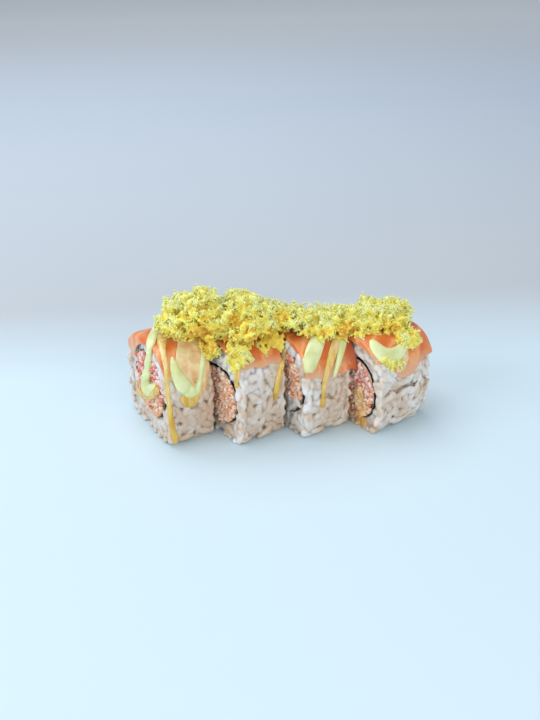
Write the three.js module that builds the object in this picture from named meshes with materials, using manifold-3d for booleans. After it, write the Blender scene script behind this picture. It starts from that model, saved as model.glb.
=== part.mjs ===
// A salmon-topped inside-out roll, cut into four slices that stand turned in a row under one heap of
// tempura flakes. Each slice is a ring of pressed rice round a band of nori, with a crab filling that
// runs right through it, and a strip of salmon draped over the top with thick sauce lying on it.
// Lengths are millimetres. X runs along the row, Z is up, and the near side of the row faces -Y.
import * as THREE from "three";
import { mergeVertices } from "three/addons/utils/BufferGeometryUtils.js";
import Module from "manifold-3d";

const wasm = await Module();
wasm.setup();

const AIR = 0.35; // clearance between pieces that touch
const WELD = 0.03; // edges shorter than this are closed up
const SEED = 20417;

// flat: how much of the round foot is pressed flat; room: how far grains may stand out of a cut face;
// short: how far the nori and the filling end inside the cut faces; thinning: the share of the salmon's
// width over which each edge thins out.
const RICE = { tall: 36.5, flat: 0.3, topPower: 2.9, footPower: 6.5, sides: 28, room: 0.8 };
const GRAIN = { long: 6.8, wide: 2.8, high: 2.5, spacing: 6.2, tries: 900, sway: 0.8, sink: 0.45 };
const NORI = { thick: 0.5, sides: 24, short: 0.3, boxy: 0.86, oval: 0.03, pear: 0.025 };
const FILLING = { crag: 0.7, capRings: [0.96, 0.55], short: 0.2, bevel: 1.5 };
const SALMON = { thick: 3.1, edge: 0.9, thinning: 0.22, steps: 11, ruffle: 0.45, ruffleRate: 0.6 };
const CUT_EDGE = { run: 1.0, round: 0.985 }; // a knife cut, barely rounded

// at: the centre on the table; turn: degrees about Z; core: the nori's centre and size across the cut;
// near and far: how low the salmon hangs on each side, at the left cut, the middle and the right cut.
const SLICES = [
  {
    at: [-42.6, 3.6], turn: 24, wide: 36.4, thick: 18.2, rightEdge: CUT_EDGE,
    core: { y: -2.0, z: 19.6, wide: 25.6, tall: 24.2 },
    near: [27, 26, 26], far: [29, 26, 28],
  },
  {
    at: [-17.0, -0.1], turn: 28.5, wide: 33, thick: 19.8, rightEdge: CUT_EDGE,
    core: { y: -0.7, z: 15.6, wide: 25.6, tall: 21.8 },
    near: [31, 29.5, 28.5], far: [27, 28, 25],
  },
  {
    at: [8.1, 1.8], turn: 27, wide: 33, thick: 20.2, rightEdge: CUT_EDGE,
    core: { y: -0.8, z: 19.0, wide: 24.4, tall: 26.6 },
    near: [25, 23, 24], far: [26, 27, 30],
  },
  {
    at: [36.3, 3.8], turn: 30.5, wide: 34.6, thick: 26.5, rightEdge: { run: 6, round: 0.9 },
    core: { y: -1.8, z: 14.6, wide: 25.2, tall: 24.4 },
    near: [31, 20, 21], far: [24, 22, 26],
  },
];

const SAUCE_SINK = 0.3; // how far the middle of a strand of sauce lies under the salmon's upper face
// Thick sauce lying on the salmon's near side, slice by slice. Each strand runs through points given
// as [place along the slice, height].
const SAUCE = [
  [
    { path: [[-5.2, 35.6], [-5.8, 32.5], [-6.1, 28.9]], radius: 1.3 },
    { path: [[-1.5, 35.6], [-0.3, 30.7], [3.4, 29.0], [5.5, 35.1]], radius: 1.7 },
  ],
  [{ path: [[-4.0, 35.8], [-5.0, 34.4], [-5.2, 32.5]], radius: 1.3 }],
  [
    { path: [[-3.6, 35.8], [-5.2, 32.0], [-6.0, 27.5]], radius: 2.1 },
    { path: [[2.6, 35.8], [2.0, 32.0], [1.0, 27.0]], radius: 1.7 },
  ],
  [{ path: [[-6.0, 35.8], [-2.4, 31.9], [1.6, 31.4], [4.8, 35.5]], radius: 1.9 }],
];

// The flakes' skyline along the row, as [x, height of the top, y of the middle, half width].
const SKYLINE = [
  [-47, 43, 1, 5], [-42, 50.5, 1, 9], [-33, 56, 2, 11], [-23, 51, 2, 11], [-14, 53.5, 1, 11],
  [-5, 47.5, 1, 11], [7, 45, 2, 10], [18, 44.5, 2, 11], [30, 47, 4, 11], [42, 46.5, 5, 10], [50, 43, 6, 5],
];
// Flakes that spill over the near edge, as [x, y, z, radius].
const SPILLS = [
  [-32, -10, 41, 3.8], [-24.5, -11, 38, 3.8], [-19.5, -11, 37.5, 3.6], [-16, -14, 34, 3.0],
  [-8, -11.5, 38.5, 3.6], [18, -9.5, 39.5, 3.4], [28, -8.5, 41, 3.6], [42, -7.5, 40, 3.6],
];
// deep: how far the core lies inside the skyline; crumbs: the clusters that stand on it, by radius.
const FLAKES = { floor: 37.6, root: 3, deep: 2.0, sides: 8, crumbs: 58, small: 1.8, large: 2.9 };
const LIFT = { step: new THREE.Vector3(0, -0.5, 0.9), tries: 4 }; // moves a cluster off what it would cross
const GOLDEN = 0.618; // steps round the heap by this share of its arc, so that clusters spread evenly

// ---- small helpers ----

const random = (() => {
  let state = SEED;
  return () => {
    state = (Math.imul(state, 1664525) + 1013904223) >>> 0;
    return state / 2 ** 32;
  };
})();
const between = (low, high) => low + (high - low) * random();
const signedPower = (value, power) => Math.sign(value) * Math.abs(value) ** power;
const range = (count, make) => Array.from({ length: count }, (_, i) => make(i));

// Eases through three values given at the left cut, the middle and the right cut.
function along(values, share) {
  const half = share < 0.5 ? 0 : 1;
  const t = share * 2 - half;
  return THREE.MathUtils.lerp(values[half], values[half + 1], t * t * (3 - 2 * t));
}

// A closed geometry as a solid that can be joined and cut, and back.
function solidOf(geometry) {
  const bare = geometry.clone();
  bare.deleteAttribute("normal");
  bare.deleteAttribute("uv");
  const merged = mergeVertices(bare, 1e-4);
  return new wasm.Manifold(
    new wasm.Mesh({
      numProp: 3,
      vertProperties: merged.attributes.position.array,
      triVerts: new Uint32Array(merged.index.array),
    }),
  );
}

// Closes up the tiny edges that cutting leaves: both ends of each become one corner.
function geometryOf(solid) {
  const mesh = solid.getMesh();
  const corners = range(mesh.numVert, (i) => new THREE.Vector3().fromArray(mesh.vertProperties, 3 * i));
  const faces = range(mesh.numTri, (i) => [...mesh.triVerts.slice(3 * i, 3 * i + 3)]);
  const joined = corners.map((_, i) => i);
  const cornerOf = (i) => (joined[i] === i ? i : cornerOf(joined[i]));
  for (const face of faces)
    face.forEach((a, k) => {
      const [from, to] = [a, face[(k + 1) % 3]].map(cornerOf);
      if (corners[from].distanceTo(corners[to]) < WELD) joined[Math.max(from, to)] = Math.min(from, to);
    });
  const kept = faces.map((face) => face.map(cornerOf)).filter((face) => new Set(face).size === 3);
  const geometry = new THREE.BufferGeometry().setFromPoints(corners);
  geometry.setIndex(kept.flat());
  geometry.computeVertexNormals();
  return geometry;
}

// Keeps the main outer skin: drops the loose scraps and fills the sealed hollows that joining leaves.
function largest(solid) {
  return solid.decompose().sort((a, b) => b.volume() - a.volume())[0];
}

// Skins equal rings of points that follow one another, and closes both ends with the given triangles.
function skin(rings, lid) {
  const count = rings[0].length;
  const last = (rings.length - 1) * count;
  const index = lid.flatMap(([a, b, c]) => [c, b, a, last + a, last + b, last + c]);
  for (let start = 0; start < last; start += count)
    for (let i = 0; i < count; i++) {
      const [a, b] = [start + i, start + ((i + 1) % count)];
      index.push(a, b, b + count, a, b + count, a + count);
    }
  const geometry = new THREE.BufferGeometry().setFromPoints(rings.flat());
  geometry.setIndex(index);
  return geometry;
}

// A skin over rings that lie square to X.
function loft(rings) {
  const outline = rings[0].map((p) => new THREE.Vector2(p.y, p.z));
  return skin(rings, THREE.ShapeUtils.triangulateShape(outline, []));
}

// A strand of sauce through points that each have an outward direction: six-sided, flatter than it is
// wide, and drawn in at both ends.
function strand(points, outwards, radius) {
  const curve = new THREE.CatmullRomCurve3(points);
  const lean = new THREE.CatmullRomCurve3(outwards);
  const steps = points.length + 1;
  const sides = 6;
  const rings = range(steps + 1, (s) => {
    const swell = radius * (0.6 + 0.4 * Math.sin((Math.PI * s) / steps));
    const outward = lean.getPoint(s / steps).normalize();
    const across = curve.getTangent(s / steps).cross(outward).normalize();
    return range(sides, (k) => {
      const angle = (2 * Math.PI * k) / sides;
      const point = curve.getPoint(s / steps).addScaledVector(across, Math.cos(angle) * swell);
      return point.addScaledVector(outward, Math.sin(angle) * swell * 0.7);
    });
  });
  return skin(rings, range(sides - 2, (k) => [0, k + 1, k + 2]));
}

// ---- the form of a slice ----
// In a slice's own frame X is the roll's axis, the cut that shows faces -X, and -Y is its near side.

// The places along a slice where its outline is given, each with the outline's scale there.
function stations(slice) {
  const half = slice.thick / 2;
  return [
    [-half, CUT_EDGE.round],
    [-half + CUT_EDGE.run, 1],
    [-half / 4, 1],
    [half - slice.rightEdge.run, 1],
    [half, slice.rightEdge.round],
  ];
}

// A point of the rice's outline: angle 0 is the far side, 90 degrees the crown, 180 the near side.
// The round foot dips below the table by RICE.flat, and is cut level there.
function outlinePoint(slice, angle, scale = 1) {
  const power = 2 / (Math.sin(angle) > 0 ? RICE.topPower : RICE.footPower);
  const halfWide = (slice.wide / 2 - GRAIN.high / 4) * scale;
  const halfTall = (RICE.tall + RICE.flat) / 2;
  const z = RICE.tall - halfTall + halfTall * scale * signedPower(Math.sin(angle), power);
  return new THREE.Vector2(halfWide * signedPower(Math.cos(angle), power), z);
}

// The angle at which the outline passes a height on the far side, above its widest place.
function angleAt(height) {
  const halfTall = (RICE.tall + RICE.flat) / 2;
  const share = THREE.MathUtils.clamp((height - RICE.tall) / halfTall + 1, 0, 1);
  return Math.asin(share ** (RICE.topPower / 2));
}

function outlineNormal(slice, angle) {
  const step = 0.02;
  const run = outlinePoint(slice, angle + step).sub(outlinePoint(slice, angle - step));
  return new THREE.Vector2(run.y, -run.x).normalize();
}

// A point of the nori's outer face, or of a face that lies further out by grow.
function corePoint(slice, angle, grow = 0) {
  const { y, z, wide, tall } = slice.core;
  const uneven = NORI.oval * Math.sin(2 * angle + slice.turn) + NORI.pear * Math.cos(3 * angle + slice.thick);
  const across = (wide / 2 + grow) * (1 + uneven) * signedPower(Math.cos(angle), NORI.boxy);
  const up = (tall / 2 + grow) * (1 + uneven) * signedPower(Math.sin(angle), NORI.boxy);
  return new THREE.Vector2(y + across, z + up);
}

function coreRing(slice, x, grow, share = 1) {
  return range(NORI.sides, (i) => {
    const p = corePoint(slice, (2 * Math.PI * i) / NORI.sides, grow);
    const y = THREE.MathUtils.lerp(slice.core.y, p.x, share);
    return new THREE.Vector3(x, y, THREE.MathUtils.lerp(slice.core.z, p.y, share));
  });
}

function sliceMatrix(slice) {
  const turn = THREE.MathUtils.degToRad(slice.turn);
  return new THREE.Matrix4().makeRotationZ(turn).setPosition(slice.at[0], slice.at[1], 0);
}

// True where another slice stands close in front of a point of this slice's surface.
function isHidden(slice, point, outward) {
  return [1, 3, 5].some((reach) => {
    const world = point.clone().addScaledVector(outward, reach).applyMatrix4(sliceMatrix(slice));
    return SLICES.some((other) => {
      if (other === slice) return false;
      const local = world.clone().applyMatrix4(sliceMatrix(other).invert());
      return Math.abs(local.x) < other.thick / 2 + 1 && Math.abs(local.y) < other.wide / 2 + 1;
    });
  });
}

// How low the salmon hangs at a place along the slice, on the near side or the far side.
function salmonEdge(slice, x, side) {
  const share = THREE.MathUtils.clamp(x / slice.thick + 0.5, 0, 1);
  return along(side < 0 ? slice.near : slice.far, share);
}

// ---- the pieces of a slice ----

function riceCore(slice) {
  return loft(
    stations(slice).map(([x, scale]) =>
      range(RICE.sides, (i) => {
        const p = outlinePoint(slice, (2 * Math.PI * (i + 0.5)) / RICE.sides, scale);
        return new THREE.Vector3(x, p.x, p.y);
      }),
    ),
  );
}

// One grain, lying in the surface at a point, with its long axis at a spin about the outward normal.
function grainAt({ point, outward, spin }) {
  const grain = new THREE.SphereGeometry(1, 6, 3);
  grain.scale(GRAIN.wide / 2, GRAIN.long / 2, GRAIN.high / 2);
  const lie = new THREE.Quaternion().setFromUnitVectors(new THREE.Vector3(0, 0, 1), outward);
  lie.multiply(new THREE.Quaternion().setFromAxisAngle(new THREE.Vector3(0, 0, 1), spin));
  return grain.applyQuaternion(lie).translate(point.x, point.y, point.z);
}

// A random spot on the rice's round side, with a grain along the roll, or nothing under the salmon.
function sideSpot(slice) {
  const angle = between(0, 2 * Math.PI);
  const outline = outlinePoint(slice, angle);
  const normal = outlineNormal(slice, angle);
  const half = slice.thick / 2;
  const point = new THREE.Vector3(between(1 - half, half - slice.rightEdge.run), outline.x, outline.y);
  if (point.z > salmonEdge(slice, point.x, point.y) - GRAIN.long / 2) return null;
  return { point, outward: new THREE.Vector3(0, normal.x, normal.y), spin: Math.PI / 2 };
}

// A random spot in the ring of rice at one of the two cut faces, with a grain that follows the ring.
function faceSpot(slice) {
  const angle = between(0, 2 * Math.PI);
  const side = random() < 0.5 ? -1 : 1;
  const scale = side < 0 ? CUT_EDGE.round : slice.rightEdge.round;
  const outer = outlinePoint(slice, angle, scale);
  const across = corePoint(slice, angle, GRAIN.wide / 2).lerp(outer, between(0.1, 0.6));
  const normal = outlineNormal(slice, angle);
  const point = new THREE.Vector3((side * slice.thick) / 2, across.x, across.y);
  return { point, outward: new THREE.Vector3(side, 0, 0), spin: side * Math.atan2(normal.x, -normal.y) };
}

// Spreads grains evenly, no two closer than their spacing.
function grainSpots(slice) {
  const spots = [];
  for (let n = 0; n < GRAIN.tries; n++) {
    const spot = n % 2 ? sideSpot(slice) : faceSpot(slice);
    const sway = between(-GRAIN.sway, GRAIN.sway);
    if (!spot || spot.point.z < GRAIN.wide || isHidden(slice, spot.point, spot.outward)) continue;
    spot.point.addScaledVector(spot.outward, -GRAIN.sink);
    spot.spin += sway;
    if (spots.every((other) => other.point.distanceTo(spot.point) > GRAIN.spacing)) spots.push(spot);
  }
  return spots;
}

function riceRing(slice) {
  let rice = solidOf(riceCore(slice));
  for (const spot of grainSpots(slice)) rice = rice.add(solidOf(grainAt(spot)));
  const reach = slice.thick / 2 + RICE.room;
  const hole = loft([coreRing(slice, -reach - 1, AIR), coreRing(slice, reach + 1, AIR)]);
  const room = new THREE.BoxGeometry(2 * reach, slice.wide + 4, RICE.tall + 2);
  room.translate(0, 0, RICE.tall / 2 + 1);
  rice = rice.subtract(solidOf(hole)).subtract(solidOf(salmonStrip(slice, AIR))).intersect(solidOf(room));
  return geometryOf(largest(rice));
}

function noriBand(slice) {
  const half = slice.thick / 2 - NORI.short;
  const outer = loft([coreRing(slice, -half, 0), coreRing(slice, half, 0)]);
  const inner = loft([coreRing(slice, -half - 1, -NORI.thick), coreRing(slice, half + 1, -NORI.thick)]);
  return geometryOf(solidOf(outer).subtract(solidOf(inner)));
}

// The filling's cut ends are craggy: their rings are pushed in and out at random.
function crabFilling(slice) {
  const inside = -NORI.thick - AIR;
  const half = slice.thick / 2 - FILLING.short;
  const cragged = (side, share) =>
    coreRing(slice, side * half, inside, share).map((p) => {
      p.x += between(-FILLING.crag, FILLING.crag);
      return p;
    });
  return loft([
    ...FILLING.capRings.toReversed().map((share) => cragged(-1, share)),
    coreRing(slice, -half + FILLING.bevel, inside),
    coreRing(slice, half - FILLING.bevel, inside),
    ...FILLING.capRings.map((share) => cragged(1, share)),
  ]);
}

// The salmon's section at a station: out along its upper face, and back along its lower face. It is
// thinnest at its two edges. Its room is the same section, larger all round by a clearance, and
// deepened into the rice if asked.
function salmonSection(slice, [x, scale], clearance, deepened) {
  const start = angleAt(salmonEdge(slice, x, 1) - clearance * 1.5);
  const end = Math.PI - angleAt(salmonEdge(slice, x, -1) - clearance * 1.5);
  const thick = SALMON.thick + SALMON.ruffle * Math.sin(x * SALMON.ruffleRate + slice.turn);
  const lift = AIR - clearance;
  const upper = [];
  const lower = [];
  for (let i = 0; i <= SALMON.steps; i++) {
    const share = i / SALMON.steps;
    const angle = THREE.MathUtils.lerp(start, end, share);
    const taper = Math.min(1, Math.min(share, 1 - share) / SALMON.thinning);
    const depth = THREE.MathUtils.lerp(SALMON.edge, thick, taper * (2 - taper)) + 2 * clearance;
    const foot = outlinePoint(slice, angle, scale);
    const normal = outlineNormal(slice, angle);
    const top = foot.clone().addScaledVector(normal, lift + depth);
    foot.addScaledVector(normal, lift - deepened);
    upper.push(new THREE.Vector3(x, top.x, top.y));
    lower.push(new THREE.Vector3(x, foot.x, foot.y));
  }
  return [...upper, ...lower.reverse()];
}

function salmonStrip(slice, clearance = 0, deepened = 0) {
  const sections = stations(slice).map((station) => salmonSection(slice, station, clearance, deepened));
  if (clearance > 0) {
    const shift = new THREE.Vector3(RICE.room + clearance, 0, 0);
    sections.unshift(sections[0].map((p) => p.clone().sub(shift)));
    sections.push(sections.at(-1).map((p) => p.clone().add(shift)));
  }
  return loft(sections);
}

// A strand of sauce that lies partly sunk in the salmon's upper face, on the near side.
function sauceStrand(slice, { path, radius }, clearance = 0) {
  const angles = path.map(([, height]) => Math.PI - angleAt(height));
  const normals = angles.map((angle) => outlineNormal(slice, angle));
  const points = path.map(([x], i) => {
    const p = outlinePoint(slice, angles[i]).addScaledVector(normals[i], AIR + SALMON.thick - SAUCE_SINK);
    return new THREE.Vector3(x, p.x, p.y);
  });
  return strand(points, normals.map((n) => new THREE.Vector3(0, n.x, n.y)), radius + clearance);
}

function saucedSalmon(slice, sauces) {
  let salmon = solidOf(salmonStrip(slice));
  for (const sauce of sauces) salmon = salmon.add(solidOf(sauceStrand(slice, sauce)));
  return geometryOf(largest(salmon));
}

// ---- the heap of flakes over the whole row ----

// A point of the heap's core at a station of the skyline: angle 0 is the far side, 180 the near side.
function heapPoint([x, top, middle, wide], angle) {
  const rise = Math.sin(angle) > 0 ? top - FLAKES.deep - FLAKES.floor : FLAKES.root;
  return new THREE.Vector3(x, middle + wide * Math.cos(angle), FLAKES.floor + rise * Math.sin(angle));
}

function skylineAt(x) {
  const right = SKYLINE.findIndex((station) => station[0] > x);
  const [a, b] = [SKYLINE[right - 1], SKYLINE[right]];
  return a.map((value, i) => THREE.MathUtils.lerp(value, b[i], (x - a[0]) / (b[0] - a[0])));
}

function cluster(centre, radius) {
  const stone = new THREE.IcosahedronGeometry(radius, 0);
  stone.scale(between(0.8, 1.2), between(0.8, 1.2), 1);
  return stone.rotateX(between(0, 3)).rotateZ(between(0, 3)).translate(centre.x, centre.y, centre.z);
}

// The room that the heap leaves to the slices: their salmon, the top of the rice and the sauce.
function slicesRoom() {
  const rooms = SLICES.flatMap((slice, i) => {
    const sauces = SAUCE[i].map((sauce) => sauceStrand(slice, sauce, AIR));
    const top = salmonStrip(slice, AIR, FLAKES.root * 2);
    return [top, ...sauces].map((room) => room.applyMatrix4(sliceMatrix(slice)));
  });
  return rooms.map(solidOf).reduce((a, b) => a.add(b));
}

// The core is fitted to the slices, and each cluster is moved off them or else left out.
function flakeHeap() {
  const room = slicesRoom();
  const step = (2 * Math.PI) / FLAKES.sides;
  const rings = SKYLINE.map((station) => range(FLAKES.sides, (i) => heapPoint(station, step * (i + 0.5))));
  let heap = solidOf(loft(rings)).subtract(room);
  const clusters = SPILLS.map(([x, y, z, radius]) => cluster(new THREE.Vector3(x, y, z), radius));
  for (let n = 0; n < FLAKES.crumbs; n++) {
    const x = THREE.MathUtils.lerp(SKYLINE[0][0] + 1, SKYLINE.at(-1)[0] - 1, (n + 0.5) / FLAKES.crumbs);
    const angle = Math.PI * THREE.MathUtils.lerp(0.04, 0.96, (n * GOLDEN) % 1);
    clusters.push(cluster(heapPoint(skylineAt(x), angle), between(FLAKES.small, FLAKES.large)));
  }
  for (const stone of clusters) {
    for (let n = 0; n < LIFT.tries && !solidOf(stone).intersect(room).isEmpty(); n++)
      stone.translate(...LIFT.step.toArray());
    if (solidOf(stone).intersect(room).isEmpty()) heap = heap.add(solidOf(stone));
  }
  return geometryOf(largest(heap));
}

// ---- materials and the finished group ----

const matte = (color, roughness) => new THREE.MeshStandardMaterial({ color, roughness, metalness: 0 });
const LOOKS = {
  rice: matte(0xeeebe2, 0.5),
  nori: matte(0x16201a, 0.6),
  filling: matte(0xe8a184, 0.6),
  salmon: matte(0xf08a4e, 0.35),
  flakes: matte(0xe9d64e, 0.7),
};

function named(name, geometry, look) {
  const mesh = new THREE.Mesh(geometry, LOOKS[look].clone());
  mesh.name = name;
  return mesh;
}

const roll = new THREE.Group();
SLICES.forEach((slice, i) => {
  const group = new THREE.Group();
  group.position.set(slice.at[0], slice.at[1], 0);
  group.rotation.z = THREE.MathUtils.degToRad(slice.turn);
  group.add(
    named(`rice_${i + 1}`, riceRing(slice), "rice"),
    named(`nori_${i + 1}`, noriBand(slice), "nori"),
    named(`crab_filling_${i + 1}`, crabFilling(slice), "filling"),
    named(`salmon_${i + 1}`, saucedSalmon(slice, SAUCE[i]), "salmon"),
  );
  roll.add(group);
});
roll.add(named("tempura_flakes", flakeHeap(), "flakes"));

// The origin is the middle of the whole roll's footprint, on the table.
const box = new THREE.Box3().setFromObject(roll, true);
const middle = box.getCenter(new THREE.Vector3());
roll.position.set(-middle.x, -middle.y, -box.min.z);

export default roll;
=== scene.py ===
from functools import partial
from math import asin, atan2, copysign, cos, hypot, pi, radians, sin, sqrt

import bpy
import numpy as np
from mathutils import Euler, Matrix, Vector
from mathutils.bvhtree import BVHTree


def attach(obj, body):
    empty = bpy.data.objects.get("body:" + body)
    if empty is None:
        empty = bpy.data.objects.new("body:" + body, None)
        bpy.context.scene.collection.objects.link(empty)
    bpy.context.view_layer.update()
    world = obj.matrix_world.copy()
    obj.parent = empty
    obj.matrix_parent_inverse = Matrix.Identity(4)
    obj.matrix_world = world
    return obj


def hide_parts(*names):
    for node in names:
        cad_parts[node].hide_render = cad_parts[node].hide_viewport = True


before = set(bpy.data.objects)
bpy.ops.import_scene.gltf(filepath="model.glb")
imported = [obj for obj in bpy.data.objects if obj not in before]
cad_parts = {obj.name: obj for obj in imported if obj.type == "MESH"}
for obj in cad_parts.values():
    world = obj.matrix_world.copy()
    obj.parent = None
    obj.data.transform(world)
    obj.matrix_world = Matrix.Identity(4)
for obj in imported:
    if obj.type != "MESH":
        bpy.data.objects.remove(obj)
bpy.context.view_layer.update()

# A salmon-topped inside-out roll in four slices, under one heap of tempura flakes.
# Lengths are millimetres until a mesh is made. mm turns them into metres.
mm = 0.001
dice = np.random.default_rng(20417)


# Camera, floor and light

shot = {
    "place": (-0.038718, -0.282295, 0.176615),
    "pitch": 61.8,  # degrees up from looking straight down
    "heading": -7.0,
    "lens": 42.5,  # the 36 mm sensor's long side stands upright here
    "width": 540,
    "height": 720,
    "focal": 850,  # the same lens, in pixels of that frame
}
tilt = Euler((radians(shot["pitch"]), 0, radians(shot["heading"])))


def makeCamera():
    bpy.ops.object.camera_add(location=shot["place"])
    camera = bpy.context.object
    camera.rotation_euler = tilt
    camera.data.lens = shot["lens"]
    camera.data.clip_start = 0.01
    bpy.context.scene.camera = camera


def linear(hexColour):
    shares = [int(hexColour[i : i + 2], 16) / 255 for i in (1, 3, 5)]
    return [c / 12.92 if c <= 0.04045 else ((c + 0.055) / 1.055) ** 2.4 for c in shares] + [1]


# Adds a node, sets its options, sets or links its inputs, given by name or in their order, and gives
# one of its outputs.
def addNode(tree, kind, inputs=(), ramp=(), out=0, **options):
    node = tree.nodes.new("ShaderNode" + kind)
    for option, value in options.items():
        setattr(node, option, value)
    for name, value in inputs.items() if isinstance(inputs, dict) else enumerate(inputs):
        if isinstance(value, bpy.types.NodeSocket):
            tree.links.new(value, node.inputs[name])
        else:
            node.inputs[name].default_value = value
    for place, (position, colour) in enumerate(ramp):
        stops = node.color_ramp.elements
        stop = stops[place] if place < len(stops) else stops.new(position)
        stop.position, stop.color = position, linear(colour)
    return node.outputs[out]


# Starts a material. soak is the weight, scale and radius of the light inside it, and wet the weight
# and roughness of the film on it.
def startMaterial(name, soak=(), wet=(), **values):
    material = bpy.data.materials.new(name)
    material.use_nodes = True
    values.update(zip(("Subsurface Weight", "Subsurface Scale", "Subsurface Radius"), soak))
    values.update(zip(("Coat Weight", "Coat Roughness"), wet))
    for socket, value in values.items():
        material.node_tree.nodes["Principled BSDF"].inputs[socket].default_value = value
    add = partial(addNode, material.node_tree)
    return material, add, add("TexCoord", out="Object")


# Links a pattern's colour, and its bump where it has one, to the material's shader.
def coloured(material, colour, bump=None):
    tree = material.node_tree
    shader = tree.nodes["Principled BSDF"]
    tree.links.new(colour, shader.inputs["Base Color"])
    if bump is not None:
        tree.links.new(bump, shader.inputs["Normal"])
    return material


room = {
    "floorSize": 6.0,
    "floorHeight": -0.0002,
    # the floor's colours, from under the row to far behind it, and how far back each one lies. They are a
    # painted gradient: greyer just behind the row as painted shade, paler far off as painted light
    "floor": ((-0.5, "#cde4f0"), (0.04, "#cde4f0"), (0.11, "#bcc6ce"), (0.6, "#cbdaea"), (1.3, "#f2faff")),
    "sky": "#eaeef6",
    "skyStrength": 0.5,
    "lamps": {  # place, size, power, colour
        "softbox": ((-0.25, 0.30, 0.85), 0.7, 4.6, "#ffffff"),
        "window": ((-0.70, -0.25, 0.35), 0.5, 2.8, "#f8faff"),
        "card": ((0.25, -0.65, 0.32), 0.6, 2.5, "#fff5ea"),
    },
    "aim": (0, 0, 0.02),
}


# Backdrop paper, matt, pale under the row and a little greyer behind it as painted shade, then paler far
# off as painted light.
def paperMaterial():
    material, add, where = startMaterial("matt backdrop paper", Roughness=0.9)
    away = add("SeparateXYZ", {"Vector": where}, out="Y")
    near, far = room["floor"][0][0], room["floor"][-1][0]
    share = add("MapRange", (away, near, far))
    ramp = [((back - near) / (far - near), colour) for back, colour in room["floor"]]
    return coloured(material, add("ValToRGB", (share,), ramp))


def makeRoom():
    bpy.ops.mesh.primitive_plane_add(size=room["floorSize"], location=(0, 0, room["floorHeight"]))
    floor = bpy.context.object
    floor.name = "floor"
    floor.data.materials.append(paperMaterial())
    for name, (place, size, power, colour) in room["lamps"].items():
        bpy.ops.object.light_add(type="AREA", location=place)
        lamp = bpy.context.object
        lamp.name = name
        lamp.data.size, lamp.data.energy, lamp.data.color = size, power, linear(colour)[:3]
        lamp.rotation_euler = (Vector(room["aim"]) - Vector(place)).to_track_quat("-Z", "Y").to_euler()
    world = bpy.data.worlds.new("soft studio")
    world.use_nodes = True
    sky = world.node_tree.nodes["Background"]
    sky.inputs["Color"].default_value = linear(room["sky"])
    sky.inputs["Strength"].default_value = room["skyStrength"]
    bpy.context.scene.world = world
    bpy.context.scene.view_settings.view_transform = "Standard"


makeCamera()
makeRoom()
print("camera, floor and light are in place")


# The form of a slice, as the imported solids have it. X is the roll's axis, -Y the near side.

rowShift = (0.657, -2.431)  # puts the row's middle at the origin
rice = {
    # the slice's outline, which draws in at its cuts, and the filling's outline inside it
    "tall": 36.5, "flat": 0.3, "topPower": 2.9, "footPower": 6.5, "inset": 0.625,
    "cutRun": 1, "cutScale": 0.985, "coreWaves": (0.03, 0.025), "coreBoxy": 0.86,
    # a grain's length, width and height, its bow and tip, and how much copies of it vary
    "grain": (7.2, 3.3, 2.7), "bow": 0.4, "sway": 0.08, "sizes": (0.85, 1.12), "jitter": 0.5,
    # how many places are tried on the outside and on a cut, and how far the grains keep apart
    "sideTries": 3200, "faceTries": 1100, "spacing": 2.3, "fromCut": 0.4,
    # how far out they lie: on the outside, on the cuts, in lumps and at the foot
    "proud": -0.3, "faceProud": -0.75, "lump": 0.45, "faceLump": 0.35, "foot": 0.55, "footTall": 3,
    "lean": 0.35,  # towards the rounded end
    # how far up under the salmon they go, also where it reaches over a cut, and how they sink there
    "under": 1.0, "underReach": -2.5, "sink": 0.9, "sinkFrom": 3, "foldNear": 3, "foldFrom": 3, "hangNear": 4,
    # what those on a cut keep clear: the nori, the rim, and the salmon that folds or hangs there
    "noriGap": 1.2, "rim": 0.9, "coveredRim": 4.0, "hangRim": 3, "foldRim": 2, "foldSink": 1.2,
    "innerGap": 1.5, "innerShare": 0.3,  # those inside the nori
    # the solid rice under them, how they are pressed flat, and how they melt together
    "deep": 0.75, "coreGap": 0.3, "chamfer": 1.3, "pressed": 0.4, "matted": 0.3, "footOut": 0.9,
    "spreadFrom": 5,  # below this height the foot spreads
    "voxel": 0.38, "soften": 2,
}
halfTall = (rice["tall"] + rice["flat"]) / 2
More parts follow.
